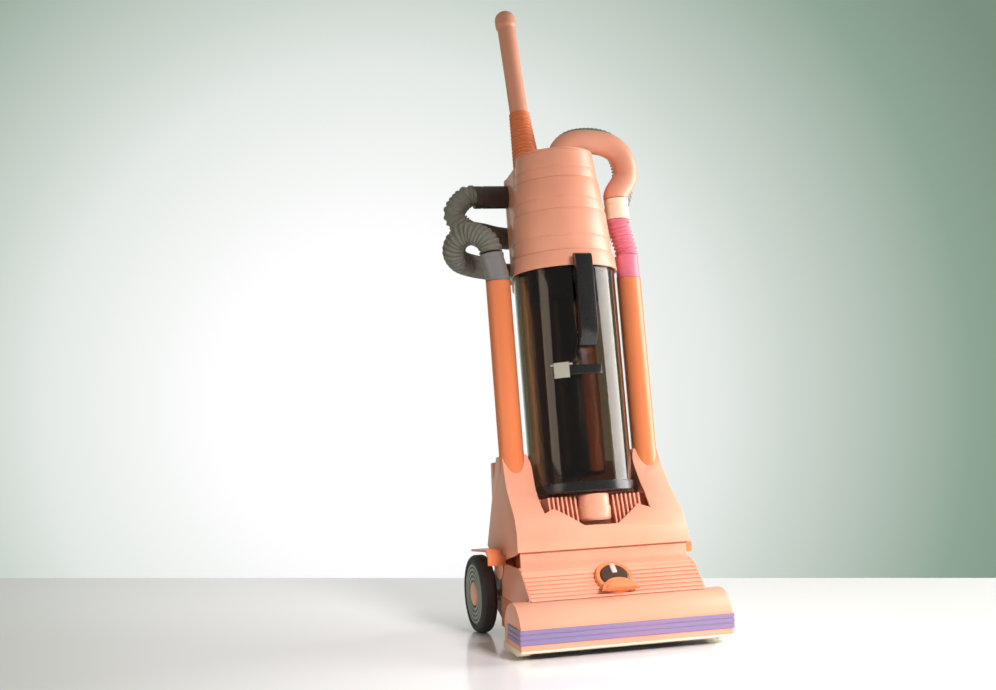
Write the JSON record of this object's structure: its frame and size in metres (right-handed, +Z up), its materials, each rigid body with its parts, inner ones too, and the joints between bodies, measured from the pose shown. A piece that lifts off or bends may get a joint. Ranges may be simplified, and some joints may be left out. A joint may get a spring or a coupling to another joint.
{
  "type": "upright vacuum cleaner",
  "caption": "Upright cyclonic vacuum cleaner with a clear bin, side tubes, stretch hose, pull-out wand and a wide floor head.",
  "frame": {"origin": "on the floor, below the middle of the machine's box", "axes": "+Z up, front of the cleaner head towards -Y, +X to the right as seen from the front"},
  "size_m": [0.3406, 0.5464, 1.0073],
  "materials": {
    "peach": "moulded, satin",
    "orange": "moulded, satin",
    "cream": "satin",
    "lavender": "soft, satin",
    "black": "glossy",
    "rubber": "matt",
    "teal": "satin",
    "clear": "clear, smoked",
    "grey_hose": "satin",
    "grey_cuff": "satin",
    "pink": "satin",
    "steel": "ground",
    "silver": "satin",
    "smoke": "glossy"
  },
  "bodies": {
    "head": {"head_chassis": "orange", "sole_plate": "cream", "brush_hood": "peach", "bumper_strip": "lavender", "rib_cover": "peach", "dial_surround": "orange", "drive_belt": "rubber", "brush_bearing_left": "black", "brush_bearing_right": "black", "axle_left": "steel", "axle_right": "steel", "wheel_guard_left": "orange", "wheel_guard_right": "orange", "pivot_cap_left": "peach", "pivot_cap_right": "peach"},
    "upright": {"motor_cover": "peach", "rear_cover": "peach", "fin_grille": "peach", "cyclone_housing": "peach", "housing_lid": "peach", "wand_socket": "peach", "swan_neck": "peach", "motor_housing": "orange", "inner_cyclone": "orange", "back_spine": "orange", "side_tube_left": "orange", "side_tube_right": "orange", "neck_collar": "cream", "cord_inlet": "black", "bin_base": "black", "cyclone_shroud": "black", "bin_handle": "black", "bin_strap": "black", "bin_seal": "rubber", "bin_body": "clear", "stretch_hose": "grey_hose", "hose_cuff_lower": "grey_cuff", "hose_cuff_upper": "grey_cuff", "bellows_cuff": "pink", "duct_bellows": "pink", "motor_can": "steel", "bin_buckle": "silver"},
    "wheel_left": {"tyre_left": "rubber", "wheel_disc_left": "teal", "wheel_cap_left": "peach"},
    "wheel_right": {"tyre_right": "rubber", "wheel_disc_right": "teal", "wheel_cap_right": "peach"},
    "brush": {"brush_bar": "rubber"},
    "dial": {"height_dial": "smoke"},
    "carriage": {"roller_carriage": "black"},
    "roller_left": {"front_roller_left": "rubber"},
    "roller_right": {"front_roller_right": "rubber"},
    "pedal": {"recline_pedal": "black"},
    "rotor": {"motor_shaft": "steel", "fan_impeller": "black"},
    "catch": {"bin_catch": "peach"},
    "switch": {"power_switch": "black"},
    "wand": {"wand_tube": "orange", "wand_sleeve": "orange"}
  },
  "joints": [
    {"name": "recline", "type": "hinge", "parent": "head", "child": "upright", "pos_m": [0, -0.084, 0.111], "axis": [-1, 0, 0], "range_deg": [0, 48]},
    {"name": "wheel_left_spin", "type": "hinge", "parent": "head", "child": "wheel_left", "pos_m": [-0.15, -0.0283, 0.059], "axis": [1, 0, 0], "continuous": true},
    {"name": "wheel_right_spin", "type": "hinge", "parent": "head", "child": "wheel_right", "pos_m": [0.15, -0.0283, 0.059], "axis": [1, 0, 0], "continuous": true},
    {"name": "brush_spin", "type": "hinge", "parent": "head", "child": "brush", "pos_m": [0, -0.231, 0.036], "axis": [1, 0, 0], "continuous": true},
    {"name": "height_dial_turn", "type": "hinge", "parent": "head", "child": "dial", "pos_m": [0, -0.21314, 0.09837], "axis": [0, -0.6402, 0.7682], "range_deg": [0, 60]},
    {"name": "carriage_lift", "type": "slide", "parent": "head", "child": "carriage", "axis": [0, 0, 1], "range_m": [0, 0.004]},
    {"name": "roller_left_spin", "type": "hinge", "parent": "carriage", "child": "roller_left", "pos_m": [-0.105, -0.169, 0.009], "axis": [1, 0, 0], "continuous": true},
    {"name": "roller_right_spin", "type": "hinge", "parent": "carriage", "child": "roller_right", "pos_m": [0.105, -0.169, 0.009], "axis": [1, 0, 0], "continuous": true},
    {"name": "pedal_press", "type": "hinge", "parent": "head", "child": "pedal", "pos_m": [0, -0.0805, 0.033], "axis": [1, 0, 0], "range_deg": [-8, 0], "stiffness_Nm_per_rad": 0.1, "springref_deg": 11.46},
    {"name": "motor_spin", "type": "hinge", "parent": "upright", "child": "rotor", "pos_m": [0, -0.084, 0.111], "axis": [1, 0, 0], "continuous": true},
    {"name": "bin_catch_turn", "type": "hinge", "parent": "upright", "child": "catch", "pos_m": [0, -0.13635, 0.19131], "axis": [0, 0.1736, 0.9848], "range_deg": [0, 90]},
    {"name": "switch_rock", "type": "hinge", "parent": "upright", "child": "switch", "pos_m": [0, 0.022, 0.19385], "axis": [1, 0, 0], "range_deg": [0, 12]},
    {"name": "wand_lift", "type": "slide", "parent": "upright", "child": "wand", "axis": [0, 0.3665, 0.9304], "range_m": [0, 0.06]}
  ],
  "couplings": [
    {"joint": "carriage_lift", "follows": "height_dial_turn", "m_per_rad": 0.0038197},
    {"joint": "motor_spin", "follows": "brush_spin", "ratio": 1.5778}
  ]
}
